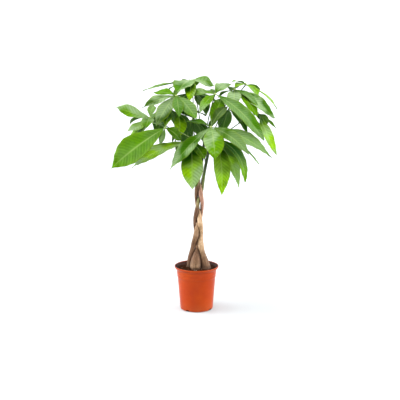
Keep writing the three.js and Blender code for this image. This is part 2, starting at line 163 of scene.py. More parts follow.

# Fronds: trunk, height of the stalk's heel, knuckle, tones, sheens and leaflets. Tones, one a
# leaflet or one for all, run from 0 to 1: partly the leaf's own colour, deep green when old
# to yellow-green when new, and partly painted shade, with low tones darkening leaflets that
# sit in shade. Sheens tell how much painted sheen, a pale grey standing for light reflected
# off the top, lies on each leaflet. Leaflets are [tip x, tip y, tip z, width, roll in
# degrees, arch], or (heading, spread, count, length, droop) for a fan of them.
FRONDS = {
    "front": [
        "right", 532, [44, -90, 590],
        [0.5, 0.25, 0.35, 0.5, 0, 0.25, 0.15, 0.45], [1, 0.95, 0.1, 1, 0.2, 0.45, 0.35, 0.4],
        [
            [55, -190, 505, 62, 0], [-77, -150, 471, 60, 15, 0.05], [-37, -60, 602, 38, 10],
            [79, -5, 671, 42, -15, 0.055], [96, -45, 648, 36, -15, 0.125],
            [223, -130, 503, 58, -22], [154, -170, 519, 50, -18], [184, -150, 487, 26, 8, 0.07],
        ],
    ],
    "top": [
        "right", 548, [57, -20, 683],
        [0.35, 0.25, 0.55, 0.55, 0.3, 0.3], [0.8, 0.35, 1, 1, 0.4, 0.4],
        [
            [102, 60, 708, 46, -8], [201, -110, 552, 58, -20], [-47, 10, 671, 42, 25],
            [10, -90, 632, 32, 10], [-6, 88, 672, 34, 0], [60, 90, 680, 34, 0],
        ],
    ],
    "top_left": [
        "left", 540, [-14, 32, 721],
        [0.4, 0.3, 0.1, 0.7, 0.35, 0.62, 1], [0.4, 1, 0.4, 0.4, 1, 0.4, 1],
        [
            [-164, 15, 691, 40, 0, 0.02], [-54, -75, 691, 66, 0], [-88, 90, 688, 44, 20, 0.05],
            [-8, 130, 690, 38, 0], [56, 66, 702, 44, -42], [-72, 10, 668, 36, 10],
            [-20, -50, 664, 36, 0],
        ],
    ],
    "left_high": [
        "left", 527, [-60, -60, 681], [0, 0.05, 0.5, 0.4, 0.25], [0.65, 0.85, 0, 0.45, 0.2],
        [
            [-117, -150, 599, 44, 20], [-159, -100, 648, 46, 20, 0.06],
            [-132, 10, 684, 34, 28, 0.07], [1, -110, 614, 44, -25], [-50, -140, 625, 34, 0],
        ],
    ],
    "left_far": [
        "left", 500, [-142, -10, 610], [0.6, 0.8, 0.45, 0.4, 0.82, 0.3], [1, 1, 0.4, 1, 0.4, 0.4],
        [
            [-244, -40, 645, 50, 42, -0.02], [-206, -90, 577, 36, 15, -0.06],
            [-135, 50, 642, 28, 0], [-150, -80, 586, 40, 0], [-202, -30, 522, 44, 20],
            [-210, 55, 583, 38, 0],
        ],
    ],
    "left_low": [
        "right", 512, [-92, -110, 590], [0.4, 0.15, 0.35, 0.3, 1], [0.1, 0, 0.55, 0.4, 1],
        [
            [-251, -150, 474, 86, 50, 0.06], [-48, -98, 550, 46, -45, 0.12],
            [-108, -120, 541, 18, 60], [-131, -60, 596, 30, 0], [-79, -60, 629, 28, 0],
        ],
    ],
    "left_inner": [
        "left", 514, [-57, 20, 623], [0.95, 0.15, 0, 0.05, 0.3], [0, 0.4, 0.4, 0.4, 0.4],
        [
            [-52, -25, 553, 44, 20], [0, 70, 588, 40, -30], [-112, 45, 580, 34, 0],
            [-24, 78, 556, 34, 0], [30, 80, 606, 38, -10],
        ],
    ],
    "low_left": [
        "right", 486, [-15, -55, 541], [1, 1, 0.2, 0.1, 0.7], [1, 0.9, 0.4, 0.4, 0],
        [
            [-190, -130, 474, 58, 20], [-12, -110, 404, 67, 0], [-3, -60, 402, 40, 0],
            [-60, 15, 495, 40, 0], [26, -80, 489, 44, -15],
        ],
    ],
    "low_right": [
        "middle", 476, [62, -30, 548], [0.85, 0.55, 1, 0.2, 0.25], [0.15, 0, 0.75, 0.4, 0.4],
        [
            [77, -90, 384, 56, 10], [148, -70, 420, 52, -10, 0.2], [131, -15, 393, 52, 30],
            [150, 50, 460, 38, 0], [92, 55, 452, 40, 0],
        ],
    ],
    "right": [
        "middle", 531, [118, 20, 694],
        [0.2, 0.25, 0.45, 0, 0.4, 0.5, 0.5], [1, 0.3, 0, 0.9, 0.4, 0.4, 0.4],
        [
            [239, -22, 609, 58, -24, 0.06], [186, -22, 647, 36, -10], [184, -48, 615, 40, -10],
            [113, -50, 647, 44, 0], [112, 125, 680, 36, 0], [66, 40, 664, 42, 0],
            [212, 62, 640, 36, 0],
        ],
    ],
    "right_high": [
        "middle", 515, [154, 60, 706],
        [0.8, 0.8, 0.75, 0.9, 0.7, 0.7], [0.4, 0.4, 0.35, 0.4, 0.4, 0.4],
        [
            [108, 20, 717, 26, 0], [119, 0, 700, 28, 0], [191, 20, 676, 34, 0],
            [253, 60, 629, 36, -6, 0.09], [200, 150, 670, 36, 0], [130, 150, 690, 34, 0],
        ],
    ],
    "right_far": [
        "middle", 504, [192, 40, 619], [0.95, 0.7, 0.5, 0.6], [1, 0.4, 0.4, 0.4],
        [
            [250, 20, 491, 40, -30, -0.01], [254, 80, 564, 22, 0, 0.03], [128, 0, 589, 30, 0],
            [222, 112, 568, 36, 0],
        ],
    ],
    "back": ["middle", 461, [-5, 130, 674], [0.2], [0.4], (92, 290, 8, 140, 27)],
    "back_left": ["left", 473, [-92, 120, 628], [0.12], [0.4], (135, 210, 6, 150, 40)],
    "back_right": [
        "middle", 490, [105, 135, 622], [0.3], [0.4],
        [
            [161, 79, 550, 36, 0], [222, 105, 556, 40, 10], [214, 192, 528, 44, 0],
            [84, 242, 528, 46, -5], [40, 212, 538, 40, 8], [44, 176, 566, 34, 0],
        ],
    ],
    "back_low": ["left", 458, [-12, 100, 594], [0.05], [0.4], (86, 224, 6, 138, 48)],
}
# How much of the crown's shade, from 0 to 1, some leaflets keep clear of, by their number.
OPEN_AIR = {
    "left_inner": {0: 0.4},
    "low_left": {0: 0.7, 4: 0.3},
    "low_right": {0: 0.5, 2: 0.7},
}

# Rays that look for shelter, for the painted shade on the leaves and the bark: how many,
# which way, how far round that way, where they set out and how long they are. The bark's
# rays point away from the bark.
COVER_RAYS = 20
COVER_WAY = (-0.1, -0.85, 0.5)
COVER_SPREAD = 32
COVER_START = 4
COVER_REACH = 320
DUSK_RAYS = 24
DUSK_SPREAD = 78
DUSK_START = 0.8
DUSK_REACH = 26
# Rays are cast from every so many rows and columns of a mesh only.
COVER_COLUMN_STEP = 4
DUSK_ROW_STEP = 6
DUSK_SIDE_STEP = 2
# Between these shares of its length, a leaflet in open air comes clear of the shade.
COVER_CLEARING = (0.25, 0.52)

# Stalks, knuckles and blades: radii and widths, and shapes as shares of a length or width.
STALK_RADIUS = 1.7
STALK_HEEL = 1.15
STALK_BEND = 0.35
STALK_RISE = 0.16
STALK_ROWS = 30
STALK_SIDES = 12
KNUCKLE_RADIUS = 4.5
BLADE_ROOT = 1.5
BLADE_ARCH = 0.09
BLADE_FOLD = 0.16
BLADE_WAVE = 0.045
VEIN_PITCH = 10.5
VEIN_LEAN = 0.15
ROWS_A_VEIN = 5
# Where the columns of a leaflet's mesh lie, from the midrib out to the margin.
RIB_COLUMNS = [0, 0.045, 0.12, 0.27, 0.43, 0.6, 0.76, 0.89, 1]

# Studio: a tent whose strength goes from SKY_DIM to SKY_BRIGHT while a direction's part
# along SKY_SLOPE, and SKY_SIDES of its part sideways, go through SKY_RANGE.
SKY_SLOPE = (0.2, 0.5, 1.0)
SKY_SIDES = 0.6
SKY_RANGE = (-0.3, 0.6)
SKY_DIM = 0.35
SKY_BRIGHT = 1.8
# Soft boxes straight to the left and right, and a band at the level of the floor: where
# each sets in and where it is full, and its strength.
SIDE_BOX = (0.8, 0.95)
SIDE_BOX_POWER = 14
HORIZON = (0.06, 0.12)
HORIZON_POWER = 1.3
# Lights: where each comes from, its power, and how wide it is, in degrees.
LIGHTS = {
    "front_light": ((-0.15, -0.9, 0.42), 1.75, 40),
    "top_light": ((-0.36, 0.02, 0.93), 1.6, 16),
}
LIGHT_COLOUR = (1, 0.985, 0.96)
FLOOR_COLOUR = (0.414, 0.434, 0.448, 1)
FLOOR_RADIUS = 40
# The floor lies this far below the pot, in metres.
FLOOR_DROP = 0.0005
# Camera: where it stands, in metres, how far it looks down, and its focal length as a
# share of its width.
CAMERA_PLACE = (0.011, -2.8, 0.89)
CAMERA_TILT = 10.9
CAMERA_WIDTH = 36
CAMERA_FOCUS = 911 / 400


# ---- numbers ----


def smooth(low, high, value):
    t = np.clip((value - low) / (high - low), 0, 1)
    return t * t * (3 - 2 * t)


def draw(seed):
    """A repeatable draw between -1 and 1."""
    n = sin(seed * 12.9898) * 43758.5453
    return 2 * (n - floor(n)) - 1


def unit(v):
    return v / np.linalg.norm(v, axis=-1, keepdims=True)


def blend(ends, share):
    return ends[0] + (ends[1] - ends[0]) * share


def lattice(ix, iy, iz, seed):
    """Repeatable values from -1 to 1 on whole-number lattice points."""
    h = ix * 374761393 + iy * 668265263 + iz * 1274126177 + seed * 1442695041
    h = (h ^ (h >> 13)) * 1103515245 & 0x7FFFFFFF
    h = h ^ (h >> 16)
    return (h & 0xFFFF) / 32767.5 - 1


def noise(points, pitch, seed, octaves=3):
    """Smooth noise from about -1 to 1 at points (n, 3), with lumps a pitch apart."""
    total = np.zeros(len(points))
    size = 1.0
    for octave in range(octaves):
        p = points / pitch * 2**octave
        cell = np.floor(p).astype(np.int64)
        f = p - cell
        f = f * f * (3 - 2 * f)
        for corner in range(8):
            d = np.array([corner & 1, corner >> 1 & 1, corner >> 2 & 1])
            weight = np.prod(np.where(d, f, 1 - f), axis=1)
            at = cell + d
            total += size * weight * lattice(at[:, 0], at[:, 1], at[:, 2], seed + octave)
        size /= 2
    return total


def spline(points, shares):
    """Centripetal Catmull-Rom curve through points, at shares from 0 to 1 of its length."""
    points = np.asarray(points, float)
    last = len(points) - 1
    ends = [2 * points[0] - points[1], 2 * points[-1] - points[-2]]
    padded = np.vstack([ends[0], points, ends[1]])
    out = []
    for share in shares:
        p = last * share
        i = min(int(p), last - 1)
        w = p - i
        p0, p1, p2, p3 = padded[i : i + 4]
        d0, d1, d2 = (
            max(np.sum((b - a) ** 2) ** 0.25, 1e-4) for a, b in ((p0, p1), (p1, p2), (p2, p3))
        )
        t1 = ((p1 - p0) / d0 - (p2 - p0) / (d0 + d1) + (p2 - p1) / d1) * d1
        t2 = ((p2 - p1) / d1 - (p3 - p1) / (d1 + d2) + (p3 - p2) / d2) * d1
        c2 = -3 * p1 + 3 * p2 - 2 * t1 - t2
        c3 = 2 * p1 - 2 * p2 + t1 + t2
        out.append(p1 + t1 * w + c2 * w * w + c3 * w**3)
    return np.array(out)


# ---- meshes ----


def placed(name, data):
    """A new object in the scene."""
    made = bpy.data.objects.new(name, data)
    scene.collection.objects.link(made)
    return made


class Shape:
    """Vertices, faces and named vertex values that grow piece by piece into one mesh.

    Blades, stems and bark note which vertices belong to them and where rays start.
    """

    def __init__(self, names):
        self.verts, self.faces, self.count = [], [], 0
        self.values = {name: [] for name in names}
        self.blades, self.stems, self.bark = [], [], None

    def add(self, verts, faces, **values):
        verts = np.asarray(verts, float)
        self.faces.extend([tuple(self.count + i for i in face) for face in faces])
        self.verts.append(verts)
        self.count += len(verts)
        for name, stored in self.values.items():
            value = np.asarray(values.get(name, 0.0), float)
            stored.append(np.broadcast_to(value, (len(verts),)))

    def make(self, name, paint):
        mesh = bpy.data.meshes.new(name)
        mesh.from_pydata((np.vstack(self.verts) * MM).tolist(), [], self.faces)
        for key, stored in self.values.items():
            layer = mesh.attributes.new(key, "FLOAT", "POINT")
            layer.data.foreach_set("value", np.concatenate(stored).astype(np.float32))
        mesh.polygons.foreach_set("use_smooth", [True] * len(mesh.polygons))
        mesh.materials.append(paint)
        mesh.update()
        return placed(name, mesh)


def rings(count, sides, closed=True):
    """Faces that join count rings of sides points each, with a fan over both ends if closed."""
    faces = []
    for ring in range(count - 1):
        for i in range(sides):
            a, b = ring * sides + i, ring * sides + (i + 1) % sides
            faces.append((a, b, b + sides, a + sides))
    if closed:
        bottom, top = count * sides, count * sides + 1
        for i in range(sides):
            j = (i + 1) % sides
            faces.append((bottom, j, i))
            faces.append((top, (count - 1) * sides + i, (count - 1) * sides + j))
    return faces


def quads(rows, columns, first=0):
    """Faces of a grid of rows of columns points each, numbered from first."""
    starts = [first + r * columns + c for r in range(rows - 1) for c in range(columns - 1)]
    return [(a, a + 1, a + columns + 1, a + columns) for a in starts]


def wheels(across, back, sides):
    """Directions round each ring of a tube."""
    angles = np.arange(sides) * 2 * pi / sides
    wheel = np.cos(angles)[None, :, None] * across[:, None, :]
    return wheel + np.sin(angles)[None, :, None] * back[:, None, :]


def tube(centres, radii, across, back, sides):
    """Rings round a centre line, closed at both ends, with a radius a ring or a point."""
    radii = radii if np.ndim(radii) == 2 else radii[:, None]
    points = centres[:, None, :] + radii[..., None] * wheels(across, back, sides)
    verts = np.vstack([points.reshape(-1, 3), centres[:1], centres[-1:]])
    return verts, rings(len(centres), sides)


def tangents(centres):
    return unit(np.gradient(centres, axis=0))


# ---- trunks ----


def trunk_points(trunk):
    """[x, y, z, radius] up a trunk: its foot, its strand of the plait and its shoot."""
    strand = []
    for i in range(PLAIT_POINTS):
        z = PLAIT_START + (PLAIT_TOP - PLAIT_START) * i / (PLAIT_POINTS - 1)
        angle = radians(trunk["turn"] + 360 * (z - PLAIT_START) / PLAIT_PITCH)
        lean = blend(PLAIT_LEAN, smooth(PLAIT_LEAN_START, PLAIT_TOP, z))
        radius = blend(PLAIT_RADII, smooth(PLAIT_START, PLAIT_TOP, z))
        x, y = lean + PLAIT_WIDTH * sin(angle), PLAIT_DEPTH * sin(2 * angle)
        strand.append([x, y, z, radius])
    return trunk["foot"] + strand + trunk["shoot"]


def trunk_curve(trunk):
    """Middles and radii of a trunk's rings."""
    points = np.array(trunk_points(trunk), float)
    shares = np.linspace(0, 1, TRUNK_ROWS)
    # The radii are led through as points too, one apart.
    girths = np.column_stack([points[:, 3], np.arange(len(points)), 0 * points[:, 0]])
    return spline(points[:, :3], shares), spline(girths, shares)[:, 0]


def strands_at(z):
    """[x, y, radius] of each of the three trunks at heights z."""
    found = {}
    for name, trunk in TRUNKS.items():
        centres, radii = trunk_curve(trunk)
        columns = [np.interp(z, centres[:, 2], v) for v in (centres[:, 0], centres[:, 1], radii)]
        found[name] = np.stack(columns, -1)
    return found


def up_trunk(points, z):
    """Amounts at heights z, one row each, from [height, amount] points."""
    return np.interp(z, *np.array(points, float).T)[:, None]


def pressed(name, centres, radii, wheel):
    """Radii of a strand squeezed against the other two, and how near each point is to them."""
    z = centres[:, 2]
    strands = strands_at(z)
    middle = sum(v[:, :2] for v in strands.values()) / 3
    inward = unit(middle - centres[:, :2])
    facing = (1 + np.einsum("ksd,kd->ks", wheel[..., :2], inward)) / 2
    amount = up_trunk(PRESSED, z)
    swell = sum(
        share * smooth(starts, full, z) * (1 - smooth(fades, gone, z))
        for share, starts, full, fades, gone in PLAIT_SWELLS
    )[:, None]
    wanted = radii[:, None] * (1 + swell + amount * facing**2)
    room = np.full(wanted.shape, OPEN_ROOM)
    for other, strand in strands.items():
        if other == name:
            continue
        gap = strand[:, :2] - centres[:, :2]
        share = radii / (radii + strand[:, 2])
        distance = np.linalg.norm(gap, axis=1)
        towards = np.einsum("ksd,kd->ks", wheel[..., :2], gap / distance[:, None])
        reach = (distance * share)[:, None] / np.maximum(towards, 0.01)
        room = np.minimum(room, np.where(towards > 0.01, reach, OPEN_ROOM))
    # The smaller of the wanted radius and the room, with a soft change from one to the other.
    parts = np.exp(-wanted / PRESS_SOFTNESS) + np.exp(-(room + PRESS_OVERLAP) / PRESS_SOFTNESS)
    groove_width = (3.4 + 1.4 * (1 - smooth(185, 225, z)))[:, None]
    nearness = np.clip((wanted - room + groove_width) / groove_width, 0, 1) ** 1.3
    return -PRESS_SOFTNESS * np.log(parts), nearness


def trunk_shape(name, number):
    trunk = TRUNKS[name]
    centres, radii = trunk_curve(trunk)
    along = tangents(centres)
    across = unit(np.array([1.0, 0, 0]) - along * along[:, :1])
    back = np.cross(along, across)
    z = centres[:, 2]
    if name == "middle":
        # Its blunt foot draws in where it enters the soil.
        radii = radii * (1 - 0.2 * (1 - smooth(128, 141, z)))
    if name == "right":
        # It stays stout into the first turn of the plait.
        radii = radii + 1.3 * smooth(180, 205, z) * (1 - smooth(240, 262, z))
    wheel = wheels(across, back, TRUNK_SIDES)
    base, crease = pressed(name, centres, radii, wheel)

    turns = np.arange(TRUNK_SIDES)[None, :] * 2 * pi / TRUNK_SIDES
    angle = turns + BARK_TWIST * z[:, None] + number
    height = np.broadcast_to(z[:, None], angle.shape)
    woody = 1 - 0.75 * smooth(390, 450, z)[:, None]
    foot = 1 - smooth(150, 215, z)[:, None]

    def grain(rise, pitch, seed, octaves=3, girth=9):
        spots = np.stack([np.cos(angle) * girth, np.sin(angle) * girth, height / rise], -1)
        return noise(spots.reshape(-1, 3), pitch, seed + number, octaves).reshape(angle.shape)

    # Fine ridges and broad lumps along the grain, uneven girth, and rings round the foot.
    lumps = grain(2.5, 11, 23, 2)
    relief = 0.035 * base * (1.2 * grain(9, 3.2, 11) + 1.7 * lumps)
    relief = relief + 0.14 * grain(1.0, 5.0, 31, 2, 0.01)
    relief = relief + 0.12 * np.sin(height * 1.15 + 2.5 * lumps) * foot
    groove = 0.2 + 0.5 * smooth(200, 225, z)[:, None]
    surface = base + woody * relief - groove * crease * woody
    verts, faces = tube(centres, surface, across, back, TRUNK_SIDES)

    def at_verts(values):
        full = np.broadcast_to(values, angle.shape).ravel()
        return np.concatenate([full, full[:1], full[-1:]])

    tints = ("dark", "rosy", "green")
    shape = Shape(["height", "crease_shade", *tints])
    shape.bark = (0, verts[:-2].reshape(TRUNK_ROWS, TRUNK_SIDES, 3), wheel)
    shape.add(
        verts, faces, height=at_verts(height) / 1000,
        **{tint: at_verts(up_trunk(trunk[tint], z)) for tint in tints if tint in trunk},
    )
    add_scars(shape, trunk, number)
    return shape


def add_scars(shape, trunk, number):
    """Old leaf scars: small raised half-rings up the green shoot."""
    centres, radii = trunk_curve(trunk)
    for i in range(SCARS):
        z = SCAR_START + SCAR_STEP * i + SCAR_SCATTER * draw(number * 10 + i)
        if z > SCAR_TOP:
            continue
        k = np.argmin(np.abs(centres[:, 2] - z))
        along = tangents(centres)[k]
        bearing = SCAR_TURN * i + number
        out = np.array([cos(bearing), sin(bearing), 0])
        out = unit(out - along * out.dot(along))
        side = np.cross(along, out)
        path = []
        for a in np.linspace(-1.1, 1.1, 9):
            level = 0.7 * cos(1.4 * a)
            round_shoot = (radii[k] + 0.05) * (cos(a) * out + sin(a) * side)
            path.append(centres[k] + round_shoot + along * level)
        path = np.array(path)
        outwards = unit(path - centres[k])
        thick = 0.62 * np.sin(np.linspace(0.25, pi - 0.25, len(path)))
        verts, faces = tube(path, thick, outwards, np.cross(tangents(path), outwards), 8)
        shape.add(verts, faces, height=z / 1000, green=0.75, dark=0.3)


# ---- fronds ----


def half_width(width, t):
    swell = np.sin(pi * np.clip(t, 0, 1) ** 1.15) ** 0.95
    # The tip is drawn out to a drip point, and the root narrows to a short stalk.
    swell = swell * (1 - 0.12 * smooth(0.84, 0.97, t))
    root = BLADE_ROOT * (1 - 0.25 * smooth(0, 0.04, t)) * (1 - smooth(0.3, 0.6, t))
    return np.maximum(width / 2 * swell, np.maximum(root, 0.6))


def leaflet(shape, knuckle, spec, seed, young, bloom, clear):
    width, roll, bow = [*spec[3:], BLADE_ARCH][:3]
    tip = np.array(spec[:3], float)
    root = knuckle + unit(tip - knuckle) * KNUCKLE_RADIUS / 2
    length = np.linalg.norm(tip - root)
    chord = (tip - root) / length
    up = unit(UP - chord * chord[2])
    right = np.cross(chord, up)
    roll = radians(roll)
    side = right * cos(roll) + up * sin(roll)
    face = up * cos(roll) - right * sin(roll)
    arch = bow * length

    veins = max(6, round(length / VEIN_PITCH))
    rows = ROWS_A_VEIN * veins
    q = np.array([-x for x in RIB_COLUMNS[:0:-1]] + RIB_COLUMNS)
    s, q = np.meshgrid(np.arange(rows + 1) / rows, q, indexing="ij")
    across = np.abs(q)
    t = s + VEIN_LEAN * across**1.1 * 4 * s * (1 - s)
    edge = half_width(width, t) * q
    ripple = np.sin(9 * t + 2 * q + seed) * across
    wave = BLADE_WAVE * width * ripple * smooth(0, 0.3, t)
    slope = 4 * arch * (1 - 2 * t) / length
    normal = unit(face - slope[..., None] * chord)

    phase = s * veins + 0.5 * (q > 0)
    between = np.abs(np.sin(pi * phase))
    fade = smooth(0.03, 0.1, s) * (1 - smooth(0.86, 0.97, s))
    quilt = smooth(0.03, 0.3, across) * (1 - 0.45 * smooth(0.75, 1, across))
    depth = 0.95 * (0.6 + width / 110)
    bulge = depth * (between**0.8 - 0.6) * quilt * fade
    frill = 0.014 * width * np.sin(2 * pi * phase / 2.7 + 3 * seed) * across**3 * fade
    rib = np.clip(1 - across / 0.1, 0, 1) * (1 - 0.8 * t)
    middle = BLADE_FOLD * np.abs(edge) + wave + bulge + frill
    line = root + chord * length * t[..., None] + face * (4 * arch * t * (1 - t))[..., None]
    line = line + side * edge[..., None]

    thick = 0.24 + 0.1 * (1 - across)
    top = line + normal * (middle + thick + 0.15 * rib)[..., None]
    keel = 0.95 * rib + 0.12 * (1 - between) * quilt
    under = line + normal * (middle - thick - keel)[..., None]
    count, columns = s.shape
    flat = count * columns
    faces = quads(count, columns)
    faces += [(flat + a, flat + d, flat + c, flat + b) for a, b, c, d in faces]
    # The thin edge: along both sides, across the root and across the tip.
    for a in range(0, flat - columns, columns):
        b, c, d = a + columns, a + columns - 1, a + 2 * columns - 1
        faces += [(a, b, flat + b, flat + a), (c, flat + c, flat + d, d)]
    faces += [(c, flat + c, flat + c + 1, c + 1) for c in range(columns - 1)]
    faces += [(a, a + 1, flat + a + 1, flat + a) for a in range(flat - columns, flat - 1)]

    values = {
        "rib": np.clip(1 - across / 0.07, 0, 1) * (1 - 0.55 * t),
        "vein": (1 - between) ** 1.5 * fade * smooth(0.02, 0.1, across),
        "margin": across**6,
    }
    twice = {key: np.concatenate([v.ravel(), v.ravel()]) for key, v in values.items()}
    twice["under"] = np.repeat([0.0, 1.0], flat)
    verts = np.vstack([top.reshape(-1, 3), under.reshape(-1, 3)])
    shape.blades.append((len(shape.verts), line, clear))
    shade = 0.5 + 0.5 * draw(seed * 3.7 + width)
    shape.add(verts, faces, young=young, bloom=bloom, shade=shade, **twice)


def stalk(shape, trunk, foot, end, young):
    centres, radii = trunk_curve(trunk)
    k = np.argmin(np.abs(centres[:, 2] - foot))
    core, shoot_radius = centres[k], radii[k]
    out = end - core
    span = np.linalg.norm(out)
    out[2] = 0
    out = unit(out)
    bend = core + (end - core) * STALK_BEND + UP * STALK_RISE * span
    start = core + out * shoot_radius * 0.8
    t = np.linspace(0, 1, STALK_ROWS)[:, None]
    middle = start * (1 - t) ** 2 + 2 * bend * t * (1 - t) + end * t * t
    t = t[:, 0]
    # Swollen at the heel and again under the knuckle.
    heel, neck = (STALK_HEEL - 0.6) * np.exp(-t * 22), 0.4 * np.exp(-(1 - t) * 18)
    radii = STALK_RADIUS * (0.86 + heel + neck)
    along = tangents(middle)
    across = np.repeat(unit(np.cross(out, UP))[None, :], len(t), 0)
    verts, faces = tube(middle, radii, across, np.cross(along, across), STALK_SIDES)
    shape.stems.append((len(shape.verts), middle, STALK_SIDES))
    shape.add(verts, faces, stalk=1.0, young=young, shade=0.5)


def knuckle_ball(shape, centre, direction, young):
    """The small swollen cup where the leaflets meet the stalk."""
    rows, sides = 9, 14
    along = unit(direction)
    across = unit(np.cross(along, [0.3, 0.2, 1.0]))
    back = np.cross(along, across)
    angle = np.linspace(0.12, pi - 0.12, rows)
    centres = centre - np.cos(angle)[:, None] * along * KNUCKLE_RADIUS * 0.72
    radii = np.sin(angle) * KNUCKLE_RADIUS * 0.86
    lobes = 0.25 * np.sin(7 * np.arange(sides) * 2 * pi / sides)
    radii = radii[:, None] + lobes[None, :] * np.sin(angle)[:, None]
    across, back = (np.repeat(v[None, :], rows, 0) for v in (across, back))
    verts, faces = tube(centres, radii, across, back, sides)
    shape.add(verts, faces, stalk=1.0, young=young, shade=0.5)


def fan_of(knuckle, foot, fan):
    """Leaflets spread by rule, for a frond that the photograph doesn't show."""
    heading, width, count, longest, droop = fan
    leaflets = []
    for i in range(count):
        seed = foot + i
        turn = width * (i / (count - 1) - 0.5)
        bearing = radians(heading + turn)
        fall = radians(droop + 9 * draw(seed))
        forward = cos(radians(turn / 2)) ** 2
        length = longest * (0.55 + 0.45 * forward + 0.05 * draw(seed + 0.5))
        reach = length * cos(fall)
        way = [reach * cos(bearing), reach * sin(bearing), -length * sin(fall)]
        leaflets.append([*(knuckle + way), 0.34 * length, 12 * draw(seed + 0.25)])
    return leaflets


def frond_shape(name, number):
    shape = Shape(["stalk", "young", "bloom", "shade", "crown_shade", "rib", "vein", "margin", "under"])
    trunk, foot, knuckle, tones, painted_sheens, leaflets = FRONDS[name]
    trunk, knuckle = TRUNKS[trunk], np.array(knuckle, float)
    stalk(shape, trunk, foot, knuckle, tones[0])
    knuckle_ball(shape, knuckle, knuckle - trunk["shoot"][-1][:3], tones[0])
    if isinstance(leaflets, tuple):
        leaflets = fan_of(knuckle, foot, leaflets)
    scatter = 0 if len(tones) > 1 else 0.14
    for i, spec in enumerate(leaflets):
        young = tones[i % len(tones)] + scatter * draw(number * 17 + i * 5.3)
        clear = OPEN_AIR.get(name, {}).get(i, 0)
        leaflet(shape, knuckle, spec, i, np.clip(young, 0, 1), painted_sheens[i % len(painted_sheens)], clear)
    return shape


def sheets(grids):
    """A tree for casting rays at sheets, each a grid of points (rows, columns, 3)."""
    corners, faces = [], []
    for grid in grids:
        faces += quads(*grid.shape[:2], len(corners))
        corners += map(tuple, grid.reshape(-1, 3))
    return BVHTree.FromPolygons(corners, faces)


def cone(way, degrees, count):
    """Rays spread evenly over a cone round a direction."""
    towards = Vector((0, 0, 1)).rotation_difference(Vector(way))
    rays = []
    for i in range(count):
        height = 1 - (i + 0.5) / count * (1 - cos(radians(degrees)))
        turn = i * pi * (3 - sqrt(5))
        flat = sqrt(1 - height * height)
        ray = Vector((flat * cos(turn), flat * sin(turn), height))
        ray.rotate(towards)
        rays.append(ray)
    return rays


def blocked(tree, place, rays, start, reach):
    """The share of rays from a place that meet something between start and reach."""
    met = [tree.ray_cast(Vector(place) + ray * start, ray, reach)[0] for ray in rays]
    return sum(point is not None for point in met) / len(rays)


def filled(coarse, rows, columns, row_step, column_step):
    """Values for all of a grid, from those at every so many of its rows and columns."""
    wide = [np.interp(range(columns), range(0, columns, column_step), row) for row in coarse]
    tall = [np.interp(range(rows), range(0, rows, row_step), row) for row in np.array(wide).T]
    return np.array(tall).T


def add_crease_shade(shapes):
    """Work out how far the strands and the soil shut each place on the bark in, for its painted
    shade.
    """
    ends = [-100.0, 100.0]
    soil_sheet = np.stack([*np.meshgrid(ends, ends), np.full((2, 2), SOIL_EDGE_HEIGHT)], -1)
    # The rays meet coarser sheets of bark than those they start from.
    grids = [shape.bark[1] for shape in shapes]
    tree = sheets([*(np.concatenate([g, g[:, :1]], 1)[::4, ::2] for g in grids), soil_sheet])
    for shape in shapes:
        at, grid, outwards = shape.bark
        rows, sides = grid.shape[:2]
        places, ways = (v[::DUSK_ROW_STEP, ::DUSK_SIDE_STEP] for v in (grid, outwards))
        crease_shade = [
            [
                blocked(tree, place, cone(way, DUSK_SPREAD, DUSK_RAYS), DUSK_START, DUSK_REACH)
                for place, way in zip(*ring)
            ]
            for ring in zip(places, ways)
        ]
        # The first side stands again after the last, so that the values close round the trunk.
        crease_shade = [row + row[:1] for row in crease_shade]
        full = filled(crease_shade, rows, sides + 1, DUSK_ROW_STEP, DUSK_SIDE_STEP)[:, :sides]
        shape.values["crease_shade"][at] = np.append(full.ravel(), full[[0, -1], 0])


def add_crown_shade(shapes):
    """Work out how far the crown above each place on each blade hides it from the light."""
    crown = sheets([line[::ROWS_A_VEIN, ::2] for shape in shapes for _, line, _ in shape.blades])
    rays = cone(COVER_WAY, COVER_SPREAD, COVER_RAYS)

    def hidden_share(place):
        return blocked(crown, place, rays, COVER_START, COVER_REACH)

    for shape in shapes:
        for at, middle, sides in shape.stems:
            along = np.array([hidden_share(place) for place in middle])
            shape.values["crown_shade"][at] = np.append(np.repeat(along, sides), along[[0, -1]])
        for at, line, clear in shape.blades:
            rows, columns = line.shape[:2]
            coarse = line[::ROWS_A_VEIN, ::COVER_COLUMN_STEP]
            # A leaflet that keeps clear of the shade does so from its middle to its tip.
            outer = smooth(*COVER_CLEARING, np.arange(0, rows, ROWS_A_VEIN) / rows)
            hidden = np.array([[hidden_share(place) for place in row] for row in coarse])
            hidden *= (1 - clear * outer)[:, None]
            full = filled(hidden, rows, columns, ROWS_A_VEIN, COVER_COLUMN_STEP)
            shape.values["crown_shade"][at] = np.tile(full.ravel(), 2)


# ---- materials ----


def material(name, paint):
    """A material whose surface is the shader that paint adds to its node tree."""
    made = bpy.data.materials.new(name)
    made.use_nodes = True
    tree = made.node_tree
    tree.nodes.clear()
    node(tree, "OutputMaterial", {"Surface": paint(tree)})
    return made


def node(tree, kind, inputs=(), **settings):
    """A new shader node, with each input linked to a socket or set to a value."""
    n = tree.nodes.new("ShaderNode" + kind)
    for key, value in settings.items():
        setattr(n, key, value)
    for key, value in dict(inputs).items():
        if isinstance(value, bpy.types.NodeSocket):
            tree.links.new(value, n.inputs[key])
        else:
            n.inputs[key].default_value = value
    return n


def mix(tree, share, colour, tint):
    """A colour with a share, or what spread makes it from, of a tint or colour over it."""
    share = spread(tree, *share) if isinstance(share, tuple) else share
    tint = (*tint, 1) if isinstance(tint, tuple) else tint
    return node(tree, "Mix", {0: share, 6: colour, 7: tint}, data_type="RGBA").outputs[2]


